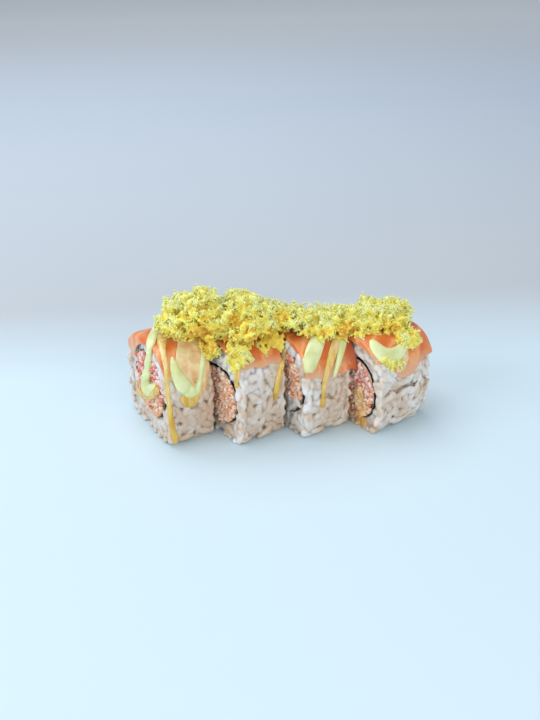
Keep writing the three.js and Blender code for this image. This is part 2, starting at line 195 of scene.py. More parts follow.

# For each slice: its middle, turn and size, then the middle, width and height of its filling, how far
# sauce has soaked into it together with the painted shade towards its far cut, and the heights of its
# salmon's edges, on the near and the far side.
slices = [
    {
        "at": (-42.6, 3.6), "turn": 24, "wide": 36.4, "thick": 18.2, "core": (-2.0, 19.6, 25.6, 24.2),
        "soaked": 1.0, "near": (27, 26, 26), "far": (29, 26, 28),
        # single grains that stand out: side, place along and height, spin, how far out
        "grains": ((1, (-8.4, 5), 15, 2.4), (1, (-8.0, 9.5), 75, 3.2), (1, (-8.5, 14), 40, 2.6),
                   (1, (-8.2, 18), 120, 3.4), (1, (-8.5, 22), 60, 2.4)),
        # where the salmon folds down over the cut: place across, and how far it hangs there
        "fold": ((-4, 0), (4, 3.6), (10, 6.6), (17, 8.5)),
    },
    {
        "at": (-17.0, -0.1), "turn": 28.5, "wide": 33.0, "thick": 19.8, "core": (-0.7, 15.6, 25.6, 21.8),
        "soaked": 0.4, "near": (31, 29.5, 28.5), "far": (27, 28, 25),
        "grains": ((-1, (-8.7, 19.6), 4, 1.8), (-1, (-3.6, 18.7), 48, 1.7), (-1, (-6.8, 24.6), 70, 1.2)),
        "bareNori": 1.0,  # how much further the grains keep from the nori on the near side
    },
    {
        "at": (8.1, 1.8), "turn": 27, "wide": 33.0, "thick": 20.2, "core": (-0.8, 19.0, 24.4, 26.6),
        "soaked": 1.0, "near": (25, 23, 24), "far": (26, 27, 30), "bareNori": 1.0,
        "innerRice": 15.0,  # up to this height the nori holds rice, not crab
        "overhang": 3.0,  # how far the salmon reaches past the far cut
        # deep: the salmon past the far cut is painted a deeper red-orange, as painted shade
        "deep": 0.9,  # how deep its colour is there
    },
    {
        "at": (36.3, 3.8), "turn": 30.5, "wide": 34.6, "thick": 26.5, "core": (-1.8, 14.6, 25.2, 24.4),
        "soaked": 0.0, "near": (30, 20, 27), "far": (24, 22, 26), "bareNori": 0.8, "overhang": 2.2,
        "fold": ((-16, 0), (-12, 2.5), (-6, 3.5), (17, 3)),
        "run": 6.0, "round": 0.9,  # how far in its outline begins to draw in, and how much
    },
]


def clamped(value):
    return min(1, max(0, value))


# Looks a place up in a table's first column, and gives the other columns there.
def tableAt(table, at):
    columns = np.array(table, float).T
    return [float(np.interp(at, columns[0], column)) for column in columns[1:]]


def signedPower(value, power):
    return copysign(abs(value) ** power, value)


def halfWide(cut):
    return cut["wide"] / 2 - rice["inset"]


def outlinePoint(cut, angle, scale=1.0):
    power = 2 / (rice["topPower"] if sin(angle) > 0 else rice["footPower"])
    up = rice["tall"] - halfTall + halfTall * scale * signedPower(sin(angle), power)
    return np.array((halfWide(cut) * scale * signedPower(cos(angle), power), up))


def outlineNormal(cut, angle, step=0.02):
    across, up = outlinePoint(cut, angle + step) - outlinePoint(cut, angle - step)
    return np.array((up, -across)) / hypot(across, up)


def corePoint(cut, angle, grow=0.0):
    y, z, wide, tall = cut["core"]
    second, third = rice["coreWaves"]
    uneven = 1 + second * sin(2 * angle + cut["turn"]) + third * cos(3 * angle + cut["thick"])
    boxy = rice["coreBoxy"] if sin(angle) > 0 else 1.0
    across = (wide / 2 + grow) * uneven * signedPower(cos(angle), boxy)
    return np.array((y + across, z + (tall / 2 + grow) * uneven * signedPower(sin(angle), boxy)))


# The outline's scale at a place along the slice.
def scaleAt(cut, x):
    half = cut["thick"] / 2
    stops = (-half, -half + rice["cutRun"], half - cut.get("run", rice["cutRun"]), half)
    return float(np.interp(x, stops, (rice["cutScale"], 1, 1, cut.get("round", rice["cutScale"]))))


# How low the salmon hangs, on the near side or the far side, eased through its three heights.
def salmonEdge(cut, x, nearSide):
    heights = cut["near" if nearSide else "far"]
    share = clamped(x / cut["thick"] + 0.5)
    half = 0 if share < 0.5 else 1
    t = share * 2 - half
    return heights[half] + (heights[half + 1] - heights[half]) * t * t * (3 - 2 * t)


def foldAt(cut, across):
    return tableAt(cut["fold"], across)[0] if "fold" in cut else 0.0


def angleAt(height):
    return asin(clamped((height - rice["tall"]) / halfTall + 1) ** (rice["topPower"] / 2))


# Turns points from a slice's own frame into the row's, in metres.
def inRow(cut, points):
    turn = radians(cut["turn"])
    points = np.atleast_2d(points)
    x = points[:, 0] * cos(turn) - points[:, 1] * sin(turn) + cut["at"][0] + rowShift[0]
    y = points[:, 0] * sin(turn) + points[:, 1] * cos(turn) + cut["at"][1] + rowShift[1]
    return np.column_stack((x, y, points[:, 2])) * mm


# Modelling helpers

def alone(*pieces):
    bpy.ops.object.select_all(action="DESELECT")
    for piece in pieces:
        piece.select_set(True)
    bpy.context.view_layer.objects.active = pieces[0]


def primitive(kind, name, **settings):
    bpy.ops.object.select_all(action="DESELECT")
    getattr(bpy.ops.mesh, f"primitive_{kind}_add")(**settings)
    piece = bpy.context.object
    piece.name = piece.data.name = name
    return piece


def applyModifier(piece, kind, **settings):
    alone(piece)
    modifier = piece.modifiers.new(kind.lower(), kind)
    for setting, value in settings.items():
        setattr(modifier, setting, value)
    bpy.ops.object.modifier_apply(modifier=modifier.name)


# Melts what overlaps into one skin and softens it.
def fuse(piece, voxel, rounds):
    applyModifier(piece, "REMESH", mode="VOXEL", voxel_size=voxel * mm, use_smooth_shade=True)
    applyModifier(piece, "SMOOTH", factor=0.5, iterations=rounds)


def cornersOf(piece):
    corners = np.empty(len(piece.data.vertices) * 3)
    piece.data.vertices.foreach_get("co", corners)
    return corners.reshape(-1, 3)


def setCorners(piece, corners):
    piece.data.vertices.foreach_set("co", np.asarray(corners).ravel())
    piece.data.update()


def setTones(mesh, tones):
    mesh.attributes.new("tone", "FLOAT", "POINT").data.foreach_set("value", tones)


# Turns every face of a closed shape outwards.
def faceOut(piece):
    alone(piece)
    bpy.ops.object.mode_set(mode="EDIT")
    bpy.ops.mesh.select_all(action="SELECT")
    bpy.ops.mesh.normals_make_consistent(inside=False)
    bpy.ops.object.mode_set(mode="OBJECT")


def aboveGround(piece):
    corners = cornersOf(piece)
    corners[:, 2] = np.maximum(corners[:, 2], 0)
    setCorners(piece, corners)
    return piece


def takeAway(*pieces):
    for piece in pieces:
        bpy.data.objects.remove(piece)


def unit(vector):
    return vector / np.linalg.norm(vector)


# Three axes for a copy that lies in a surface: along it at a spin, across it, and outward.
def lyingAxes(outward, spin, tip=0.0):
    helper = np.array((1.0, 0, 0)) if abs(outward[0]) < 0.8 else np.array((0, 0, 1.0))
    first = unit(np.cross(outward, helper))
    second = np.cross(outward, first)
    lengthwise = unit(first * cos(spin) + second * sin(spin) + outward * tip)
    across = unit(np.cross(outward, lengthwise))
    return np.array((lengthwise, across, np.cross(lengthwise, across)))


# Joins copies of one shape, each a place, three axes and a tone, into a piece. Given a slice, they are
# in its frame, and are pressed there if press says how. extra is a shape that is joined to them.
def joinCopies(name, shape, copies, cut=None, extra=None, press=None):
    corners = cornersOf(shape)
    faces = [list(face.vertices) for face in shape.data.polygons]
    points, rows, tones = [], [], []
    for count, (place, axes, tone) in enumerate(copies):
        points.append(corners @ axes + place)
        rows += [[corner + count * len(corners) for corner in face] for face in faces]
        tones += [tone] * len(corners)
    points = np.concatenate(points)
    points = press(cut, points) if press else points
    points = inRow(cut, points) if cut else points * mm
    if extra:
        start = len(points)
        points = np.concatenate((points, cornersOf(extra)))
        rows += [[corner + start for corner in face.vertices] for face in extra.data.polygons]
        tones += [0.5] * len(extra.data.vertices)
        takeAway(extra)
    mesh = bpy.data.meshes.new(name)
    mesh.from_pydata(points, [], rows)
    setTones(mesh, tones)
    mesh.polygons.foreach_set("use_smooth", [True] * len(rows))
    piece = bpy.data.objects.new(name, mesh)
    bpy.context.collection.objects.link(piece)
    return piece


# Keeps the spots, each a tuple that begins with its place, that lie no closer than the spacing.
def spreadOut(spots, spacing):
    kept = np.empty((len(spots), 3))
    chosen = []
    for spot in spots:
        near = kept[: len(chosen)] - spot[0]
        if not chosen or np.einsum("ij,ij->i", near, near).min() > spacing**2:
            kept[len(chosen)] = spot[0]
            chosen.append(spot)
    return chosen


def anyAngle():
    return dice.uniform(0, 2 * pi)


def anyReach():
    return sqrt(dice.uniform(0, 1))


def finish(piece, material, slot, *nodes):
    piece.data.materials.clear()
    piece.data.materials.append(material)
    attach(piece, "root")
    if nodes:
        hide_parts(*nodes)
    print(piece.name, len(piece.data.polygons), "faces")


# Makes a piece for every slice, in place of the solid of that number.
def dressSlices(make, material, slot, node, *shapes):
    pieces = []
    for number, cut in enumerate(slices, 1):
        pieces.append(make(number, cut, *shapes))
        finish(pieces[-1], material, slot, f"{node}_{number}")
    takeAway(*shapes)
    return pieces


# Rice: cooked short grains, pressed into a ring, sticky enough to melt into one another

def modelGrain():
    grain = primitive("uv_sphere", "grain", segments=10, ring_count=8, radius=1, rotation=(0, pi / 2, 0))
    bpy.ops.object.transform_apply(location=False, rotation=True, scale=False)
    corners = cornersOf(grain) * (np.array(rice["grain"]) / 2)
    corners[:, 1] += rice["bow"] * (1 - (2 * corners[:, 0] / rice["grain"][0]) ** 2)
    setCorners(grain, corners)
    return grain


# The solid rice under the grains: a ring with a square section, wrapped on the slice's outline.
def riceCore(cut, steps=96):
    ring = primitive("torus", "riceCore", major_segments=steps, minor_segments=4)
    half = cut["thick"] / 2 - rice["deep"]
    corners = cornersOf(ring)
    for index in range(len(corners)):
        major, minor = divmod(index, 4)
        angle = 2 * pi * (major + 0.5) / steps
        x = (-half, half, half, -half)[minor]
        outer = outlinePoint(cut, angle, scaleAt(cut, x)) - outlineNormal(cut, angle) * rice["deep"]
        inner = corePoint(cut, angle, rice["coreGap"])
        corners[index] = (x, *(outer if minor in (0, 1) else inner))
    setCorners(ring, inRow(cut, corners))
    faceOut(ring)
    return ring


# Spots on the outside, with the pressed lumps' swell. Under the salmon's edge the grains lie lower.
def sideSpots(cut):
    angles = np.linspace(0, 2 * pi, 600, endpoint=False)
    outline = np.array([outlinePoint(cut, angle) for angle in angles])
    steps = np.linalg.norm(np.roll(outline, -1, 0) - outline, axis=1)
    half = cut["thick"] / 2
    spots = []
    for angle in dice.choice(angles, rice["sideTries"], p=steps / steps.sum()):
        x = dice.uniform(-half + rice["fromCut"], half - rice["fromCut"])
        outline = outlinePoint(cut, angle, scaleAt(cut, x))
        above = outline[1] - salmonEdge(cut, x, outline[0] < 0)
        folded = x < rice["foldNear"] - half and foldAt(cut, outline[0]) > rice["foldFrom"]
        hanging = "overhang" in cut and x > half - rice["hangNear"]
        if above > rice["underReach" if folded or hanging else "under"]:
            continue
        lean = rice["lean"] if x > half - cut.get("run", 0) else 0
        outward = unit(np.array((lean, *outlineNormal(cut, angle))))
        swell = rice["lump"] * sin(0.45 * x + cut["turn"]) * sin(4 * angle + cut["wide"])
        proud = rice["proud"] + swell - rice["sink"] * clamped((above + rice["sinkFrom"]) / rice["sinkFrom"])
        foot = outline[1] < rice["footTall"]
        proud += foot * rice["foot"] * (0.4 + sin(0.8 * x + 2 * cut["turn"]))
        spots.append((np.array((x, *outline)) + outward * proud, outward, foot))
    return spots


def faceSpots(cut, side):
    x, outward = side * cut["thick"] / 2, np.array((float(side), 0, 0))
    innerRice, hanging = cut.get("innerRice", 0), side > 0 and "overhang" in cut
    spots = []
    for _ in range(rice["faceTries"]):
        angle = anyAngle()
        outer = outlinePoint(cut, angle, scaleAt(cut, x))
        inner = corePoint(cut, angle, rice["noriGap"] + cut.get("bareNori", 0) * (cos(angle) < -0.3))
        covered = outer[1] > salmonEdge(cut, x, outer[0] < 0) - rice["hangRim"] * hanging
        outer = outer - unit(outer - inner) * rice["coveredRim" if covered else "rim"]
        point = inner + (outer - inner) * anyReach()
        held = corePoint(cut, angle, -rice["innerGap"])
        if held[1] < innerRice and dice.uniform(0, 1) < rice["innerShare"]:
            point = held + (np.array((held[0] * 0.7, innerRice)) - held) * dice.uniform(0, 1)
        swell = rice["faceLump"] * sin(0.5 * point[0] + cut["wide"]) * sin(0.45 * point[1] + side)
        fromRim = np.linalg.norm(outlinePoint(cut, angle) - point)
        under = side < 0 and fromRim < foldAt(cut, outer[0]) + rice["foldRim"]
        proud = rice["faceProud"] + swell - rice["foldSink"] * under
        spots.append((np.array((x, *point)) + outward * proud, outward, False))
    return spots


# Flattens the grains' outsides, as the rolling mat did, and the knife cuts and the foot.
def pressFlat(cut, points):
    wide = halfWide(cut)
    up = points[:, 2] - rice["tall"] + halfTall
    power = np.where(up > 0, rice["topPower"], rice["footPower"])
    scale = (np.abs(points[:, 1] / wide) ** power + np.abs(up / halfTall) ** power) ** (1 / power)
    low = np.clip((rice["spreadFrom"] - points[:, 2]) / rice["footTall"], 0, 1)
    limit = 1 + (rice["matted"] + rice["footOut"] * low) / wide
    inward = np.where(scale > limit, (limit + (scale - limit) * rice["pressed"]) / np.maximum(scale, 0.1), 1)
    points[:, 1] *= inward
    points[:, 2] += up * (inward - 1)
    aside = np.abs(points[:, 1]) / (cut["wide"] / 2)
    corner = rice["chamfer"] * (1 + 0.6 * np.sin(points[:, 2] * 1.1 + cut["turn"]))
    reach = cut["thick"] / 2 + rice["matted"] - corner * np.clip((aside - 0.85) / 0.15, 0, 1)
    reach = reach + 0.25 * np.sin(points[:, 1] * 0.9 + cut["turn"]) * np.sin(points[:, 2] * 0.7)
    flat = np.clip(points[:, 0], -reach, reach)
    points[:, 0] = flat + (points[:, 0] - flat) * rice["pressed"]
    points[:, 2] = np.maximum(points[:, 2], 0)
    return points


def riceRing(number, cut, grain):
    spots = spreadOut(sideSpots(cut), rice["spacing"])
    for side in (-1, 1):
        spots = spots + spreadOut(faceSpots(cut, side), rice["spacing"])
    copies = []
    for place, outward, foot in spots:
        place = place + outward * dice.uniform(-1, 1) * rice["jitter"]
        spin = dice.normal(pi / 2, 0.25) if foot else anyAngle()
        axes = lyingAxes(outward, spin, dice.normal(0, rice["sway"]))
        copies.append((place, axes * dice.uniform(*rice["sizes"], 3)[:, None], 0.5))
    for side, (x, height), spin, proud in cut.get("grains", ()):
        axes = lyingAxes(np.array((0, float(side), 0)), radians(spin), 0.03)
        sized = axes * np.array((1.12, 0.95, 1.0))[:, None]
        copies.append((np.array((x, side * (halfWide(cut) + proud), height)), sized, 0.5))
    piece = joinCopies(f"rice{number}", grain, copies, cut, riceCore(cut), pressFlat)
    fuse(piece, rice["voxel"], rice["soften"])
    turn = radians(cut["turn"])
    away = cornersOf(piece)[:, :2] / mm - cut["at"] - rowShift
    share = (away @ (cos(turn), sin(turn))) / cut["thick"] + 0.5
    # the rice's tone grows towards the far cut: sauce soaked in there, and painted shade there too
    setTones(piece.data, np.clip((share - 0.1) / 0.6, 0, 1) * cut["soaked"])  # towards the far cut
    return aboveGround(piece)


# Cooked short-grain rice, moist and pressed: milky and faintly translucent, with a few near-black
# specks. Its colour holds painted light and shade: whiter upwards and warmer low down, warm grey
# towards each slice's far cut where the sauces have soaked in and painted shade lies, and purplish
# painted shade in the hollows.
def riceMaterial():
    material, add, where = startMaterial(
        "cooked sushi rice", soak=(0.35, 0.0025, (1, 0.82, 0.68)), wet=(0.25, 0.22), Roughness=0.38, IOR=1.38)
    share = add("TexNoise", {"Vector": where, "Scale": 130, "Detail": 3, "Roughness": 0.6})
    up = add("SeparateXYZ", {"Vector": where}, out="Z")
    soaked = add("Attribute", attribute_name="tone", out="Fac")
    # painted light and shade: milkier upwards and warmer low down, paler to the right along the row,
    # and greyer towards each slice's far cut, where sauce has soaked in and painted shade lies
    for spread in ((up, 0.002, 0.036, -0.06, 0.07), (up.node.outputs["X"], -0.05, 0.05, 0.01, 0.04),
                   (soaked, 0, 1, 0, -0.13)):
        share = add("Math", (share, add("MapRange", spread)), operation="ADD")
    milky = add("ValToRGB", (share,), ((0.33, "#ccb69f"), (0.48, "#d8cdbf"), (0.63, "#e3e3e4")))
    # painted shade: pointiness darkens the hollows between the grains to purplish grey
    hollowShade = add("ValToRGB", (add("NewGeometry", out="Pointiness"),),
                      ((0.42, "#85777c"), (0.475, "#d5cac9"), (0.51, "#ffffff")))
    tone = add("Mix", {0: 0.8, 6: milky, 7: hollowShade}, out=2, data_type="RGBA", blend_type="MULTIPLY")
    # a few near-black specks, scattered at random
    speckCells = add("TexVoronoi", {"Vector": where, "Scale": 150})
    speck = add("MapRange", (speckCells, 0.03, 0.045))
    spotted = add("Mix", {0: speck, 6: linear("#3a3230"), 7: tone}, out=2, data_type="RGBA")
    fine = add("TexNoise", {"Vector": where, "Scale": 1500, "Detail": 2})
    bump = add("Bump", {"Height": fine, "Strength": 0.2, "Distance": 0.0002})
    return coloured(material, spotted, bump)


rings = dressSlices(riceRing, riceMaterial(), "rice", "rice", modelGrain())
print("rice is done")


# Nori: a toasted sheet of seaweed, softened by the rice, that ends just inside each cut. Its two ends
# lap over each other low on the near side.

nori = {
    "thick": 0.24, "proud": -0.15, "steps": 150, "wave": 0.25, "ripple": 0.1,
    "start": 3.35, "lap": 0.75, "lapGap": 0.7,  # where the lap is, how long, and how far under
}


def noriBand(number, cut):
    band = primitive("grid", f"nori{number}", x_subdivisions=nori["steps"], y_subdivisions=1, size=1)
    corners = cornersOf(band)
    half = cut["thick"] / 2 + nori["proud"]
    for index, (share, end, _) in enumerate(corners.copy()):
        turned = (share + 0.5) * (2 * pi + nori["lap"])
        angle = nori["start"] + turned
        wave = sin(3 * angle + number) + sin(7 * angle + 2 * number) * 0.6
        x = copysign(half + nori["wave"] * wave * 0.6, end)
        under = min(1, 1.6 * max(0, 1 - turned / nori["lap"]))
        ripple = nori["ripple"] * sin(9 * angle + number) - nori["lapGap"] * under
        corners[index] = (x, *corePoint(cut, angle, ripple))
    setCorners(band, inRow(cut, corners))
    applyModifier(band, "SOLIDIFY", thickness=nori["thick"] * mm, offset=0)
    faceOut(band)
    applyModifier(band, "BEVEL", width=0.1 * mm, segments=1)
    bpy.ops.object.shade_smooth_by_angle(angle=radians(40))
    return band


# Roasted seaweed sheet: nearly black green, slightly glossy where moist, finely wrinkled.
def noriMaterial():
    material, add, where = startMaterial("roasted nori sheet", Roughness=0.42, IOR=1.45)
    cells = add("TexNoise", {"Vector": where, "Scale": 900, "Detail": 4})
    tone = add("ValToRGB", (cells,), ((0.35, "#0d0f12"), (0.7, "#23271f")))
    bump = add("Bump", {"Height": cells, "Strength": 0.4, "Distance": 0.0003})
    return coloured(material, tone, bump)


dressSlices(noriBand, noriMaterial(), "nori", "nori")
print("nori is done")


# Filling: crab sticks torn into chunks above, and fine shreds in mayonnaise below

filling = {
    "chunk": (2.3, 1.4, 1.2), "crumb": 1.05, "sizes": (0.6, 1.2), "tip": 0.5,
    "chunks": (0.55, 0.0, 0.12, 0.45), "blend": 0.06,  # the share of each slice's cut that is torn chunks
    "chunkTones": (0, 0.48), "crumbTones": (0.52, 1),  # the parts of the colour ramp they take
    "tries": 2600, "spacing": 0.95, "chunkSpacing": 1.2,
    "shy": 0.22, "rim": 0.55, "deep": 0.35,  # how far it keeps from the nori, and its core from the cut
    "proud": 0.3, "jitter": (-0.7, 0.1), "lump": 0.45,
}


def modelChunk():
    chunk = primitive("cube", "chunk", size=1)
    applyModifier(chunk, "BEVEL", width=0.25, segments=1)
    setCorners(chunk, cornersOf(chunk) * filling["chunk"])
    return chunk


# The solid filling under the crumbs, running right through the slice.
def fillingCore(cut):
    core = primitive("cylinder", "fillingCore", vertices=64, end_fill_type="TRIFAN")
    half = cut["thick"] / 2 - filling["deep"]
    middle = np.array(cut["core"][:2])
    corners = cornersOf(core)
    for index, (across, up, end) in enumerate(corners):
        edge = corePoint(cut, atan2(up, across), -filling["shy"])
        corners[index] = (copysign(half, end), *(middle + (edge - middle) * min(1, hypot(across, up))))
    setCorners(core, inRow(cut, corners))
    faceOut(core)
    return core


def crabFilling(number, cut, crumb, chunk):
    pieces = []
    middle = np.array(cut["core"][:2])
    chunksFrom = 1 - filling["chunks"][number - 1]
    for shape, isChunk in ((crumb, False), (chunk, True)):
        spacing = filling["spacing"] * (filling["chunkSpacing"] if isChunk else 1)
        copies = []
        for side in (-1, 1):
            outward = np.array((float(side), 0, 0))
            spots = []
            for _ in range(filling["tries"]):
                angle, reach = anyAngle(), anyReach()
                point = middle + (corePoint(cut, angle, -filling["shy"] - filling["rim"]) - middle) * reach
                height = (point[1] - middle[1]) / cut["core"][3] + 0.5 + dice.normal(0, filling["blend"])
                if (height > chunksFrom) == isChunk and point[1] >= cut.get("innerRice", 0):
                    spots.append((np.array((side * cut["thick"] / 2, *point)),))
            for (place,) in spreadOut(spots, spacing):
                swell = filling["lump"] * sin(place[1] * 0.7 + number) * cos(place[2] * 0.6)
                place = place + outward * (dice.uniform(*filling["jitter"]) + swell + filling["proud"])
                axes = lyingAxes(outward, dice.uniform(0, 6.28), dice.normal(0, filling["tip"]))
                size = dice.uniform(*filling["sizes"], 3)
                tone = dice.uniform(*filling["chunkTones" if isChunk else "crumbTones"])
                copies.append((place, axes * size[:, None], tone))
        if copies:
            pieces.append(joinCopies("part", shape, copies, cut, None if pieces else fillingCore(cut)))
    alone(*pieces)
    bpy.ops.object.join()
    pieces[0].name = pieces[0].data.name = f"crabFilling{number}"
    return pieces[0]


# Crab stick, torn and dressed: red skins and white flesh above, peach where the dressing has soaked in.
def crabMaterial():
    material, add, where = startMaterial(
        "shredded crab stick", soak=(0.25, 0.0015, (1, 0.65, 0.5)), wet=(0.2, 0.25), Roughness=0.42, IOR=1.4)
    tone = add("Attribute", attribute_name="tone", out="Fac")
    colours = add("ValToRGB", (tone,), (
        (0, "#f6dbd3"), (0.15, "#ec8f82"), (0.23, "#f1aea1"), (0.33, "#f7ddd5"), (0.42, "#e37164"),
        (0.5, "#f3cdb2"), (0.64, "#eec0a0"), (0.76, "#f6dfca"), (0.88, "#e8ae8a"), (0.97, "#d98a70"),
    ))
    colours.node.color_ramp.interpolation = "CONSTANT"
    threads = add("TexNoise", {"Vector": where, "Scale": 700, "Detail": 3, "Distortion": 0.6})
    pale = add("ValToRGB", (threads,), ((0.3, "#e2b39c"), (0.6, "#ffffff")))
    mix = add("Mix", {0: 0.4, 6: colours, 7: pale}, out=2, data_type="RGBA", blend_type="MULTIPLY")
    bump = add("Bump", {"Height": threads, "Strength": 0.35, "Distance": 0.0004})
    return coloured(material, mix, bump)


crumb = primitive("uv_sphere", "crumb", segments=6, ring_count=4, radius=filling["crumb"])
fillings = dressSlices(crabFilling, crabMaterial(), "crab", "crab_filling", crumb, modelChunk())
print("filling is done")


# Salmon: a thin strip laid over each slice, drawn thin at its two hanging edges. On the first and the
# last slice it folds down over the near cut, and on the last two it reaches past the far cut.

salmon = {
    "steps": 64, "stations": 22, "thick": 3.1, "fullest": 1.15, "edge": 0.55, "thinning": 0.16,
    "past": 0.1, "lift": 0.5, "waver": 0.5, "ruffle": 0.45,
    # the fold: its share of the strip's length, how far out it swings, and how thin it gets
    "foldShare": 0.3, "foldOut": 1.0, "foldThick": 0.45, "foldSoft": 1.3, "foldPale": 6,
    # the overhang: where along the strip it starts and where its painted shade begins and deepens, how
    # it lifts and droops
    "hangFrom": 0.75, "shadeFrom": 0.6, "shadeOver": 0.3, "hangLift": 1.1, "droop": 1.2,
}


def salmonStrip(number, cut):
    strip = primitive("grid", f"salmon{number}", x_subdivisions=salmon["steps"],
                      y_subdivisions=salmon["stations"], size=1)
    limit = cut["thick"] / 2
    half = limit + salmon["past"]
    edge = salmon["edge"] / salmon["thick"]
    folded = salmon["foldShare"] if "fold" in cut else 0
    corners = cornersOf(strip)
    thin = strip.vertex_groups.new(name="thickness")
    tones = []
    for index, (across, lengthwise, _) in enumerate(corners.copy()):
        share, station = across + 0.5, lengthwise + 0.5
        over = max(0, 1 - station / folded) if folded else 0
        x = -half + max(0, station - folded) / (1 - folded) * 2 * half
        hangs = max(0, (station - salmon["hangFrom"]) / (1 - salmon["hangFrom"])) ** 1.5 * ("overhang" in cut)
        x += cut.get("overhang", 0) * hangs
        inside = max(-limit, min(limit, x))
        waver = salmon["waver"] * sin(x * 0.9 + number), salmon["waver"] * sin(x * 0.8 + 2 * number)
        start = angleAt(salmonEdge(cut, inside, False) + waver[0])
        end = pi - angleAt(salmonEdge(cut, inside, True) + waver[1])
        angle = start + (end - start) * share
        normal = outlineNormal(cut, angle)
        lift = salmon["lift"] + salmon["hangLift"] * hangs
        point = outlinePoint(cut, angle, scaleAt(cut, inside)) + normal * lift
        point[1] -= salmon["droop"] * hangs**2
        down = over * foldAt(cut, point[0])
        point = point - normal * max(0, down - 0.5 * min(1, down))
        x -= salmon["foldOut"] * sin(min(1, down / salmon["foldSoft"]) * pi / 2)
        corners[index] = (x, *point)
        taper = min(1, min(share, 1 - share) / salmon["thinning"])
        rim = sqrt(max(0, 1 - max(0, (abs(inside) / half - 0.93) / 0.07) ** 2)) * 0.4 + 0.6
        ruffle = 1 + salmon["ruffle"] / salmon["thick"] * sin(x * 0.6 + cut["turn"])
        weight = edge + (1 - edge) * taper * (2 - taper)
        weight *= rim * (1 - min(1, down / 1.5) * (1 - salmon["foldThick"]))
        weight *= 1 - 0.6 * over**4
        thin.add([index], min(1, weight * ruffle / salmon["fullest"]), "REPLACE")
        pale = max(1 - taper, over**2 * min(1, foldAt(cut, point[0]) / salmon["foldPale"]))
        # painted shade on the overhang, carried as a negative tone
        deep = cut.get("deep", 0) * clamped((station - salmon["shadeFrom"]) / salmon["shadeOver"])
        tones.append(pale * (1 - hangs) - deep)
    setCorners(strip, inRow(cut, corners))
    setTones(strip.data, tones)
    applyModifier(strip, "SOLIDIFY", thickness=salmon["thick"] * salmon["fullest"] * mm, offset=-1,
                  vertex_group="thickness", thickness_vertex_group=0.05)
    faceOut(strip)
    applyModifier(strip, "SUBSURF", levels=1, render_levels=1)
    bpy.ops.object.shade_smooth()
    return strip


# Raw salmon loin, sliced thin: satin, moist, orange with thin pale lines of fat across it, so thin at
# its edges that the rice shows through, and painted a deeper red-orange where it hangs in the shade of
# the flakes, which is painted shade.
def salmonMaterial():
    material, add, where = startMaterial(
        "raw salmon loin", soak=(0.3, 0.0025, (1, 0.45, 0.25)), wet=(0.3, 0.18), Roughness=0.3, IOR=1.4)
    turned = add("Mapping", {"Vector": where, "Rotation": (0, 0.2, 0.5)})
    fat = add("TexWave", {"Vector": turned, "Scale": 55, "Distortion": 5, "Detail": 3,
                                    "Detail Scale": 1.6, "Detail Roughness": 0.6},
                  out="Fac", wave_type="BANDS", bands_direction="X")
    lines = add("ValToRGB", (fat,),
                    ((0.0, "#eea66c"), (0.12, "#e58848"), (0.5, "#dd7834"), (1, "#d86d2c")))
    cloudy = add("TexNoise", {"Vector": where, "Scale": 120, "Detail": 2})
    share = add("MapRange", (cloudy, 0.42, 0.75, 0, 0.6))
    rim = add("Attribute", attribute_name="tone", out="Fac")
    thinned = add("MapRange", (rim, 0.15, 0.95, 0, 0.85),
                      interpolation_type="SMOOTHSTEP")
    # painted shade: a negative tone turns the overhang deeper red-orange
    deep = add("MapRange", (rim, -0.05, -0.8, 0, 0.8))
    tone = lines
    for amount, colour in ((share, "#ebae80"), (thinned, "#e0b28c"), (deep, "#b85834")):
        tone = add("Mix", {0: amount, 6: tone, 7: linear(colour)}, out=2, data_type="RGBA")
    bump = add("Bump", {"Height": fat, "Strength": 0.15, "Distance": 0.0002})
    return coloured(material, tone, bump)


strips = dressSlices(salmonStrip, salmonMaterial(), "salmon", "salmon")
print("salmon is done")


# What falls on the row from the near side is given as it shows in the photograph, in pixels, and
# lies on the first surface behind each pixel.

looking = tilt.to_matrix()
trees = []
for piece in rings + fillings + strips:
    faces = [tuple(face.vertices) for face in piece.data.polygons]
    trees.append(BVHTree.FromPolygons([corner.co.copy() for corner in piece.data.vertices], faces))


def wayTo(x, y):
    across, up = (x - shot["width"] / 2) / shot["focal"], (shot["height"] / 2 - y) / shot["focal"]
    return np.array((looking @ Vector((across, up, -1))).normalized())


def pixelOf(place):
    across, up, back = looking.transposed() @ (Vector(place * mm) - Vector(shot["place"]))
    return shot["width"] / 2 - shot["focal"] * across / back, shot["height"] / 2 + shot["focal"] * up / back


# The place behind a pixel, its outward direction, its distance and the size of a pixel there.
def castTo(x, y):
    start = Vector(shot["place"])
    hits = [tree.ray_cast(start, Vector(wayTo(x, y))) for tree in trees]
    hits = [hit for hit in hits if hit[0] is not None]
    if not hits:
        return None
    place, normal, _, distance = min(hits, key=lambda hit: hit[3])
    depth = (place - start).dot(looking @ Vector((0, 0, -1)))
    return {"place": np.array(place) / mm, "outward": np.array(normal), "distance": distance / mm,
            "pixel": depth / mm / shot["focal"]}


# Tempura flakes: fried drops of batter, clustered into lacy crumbs over the whole row

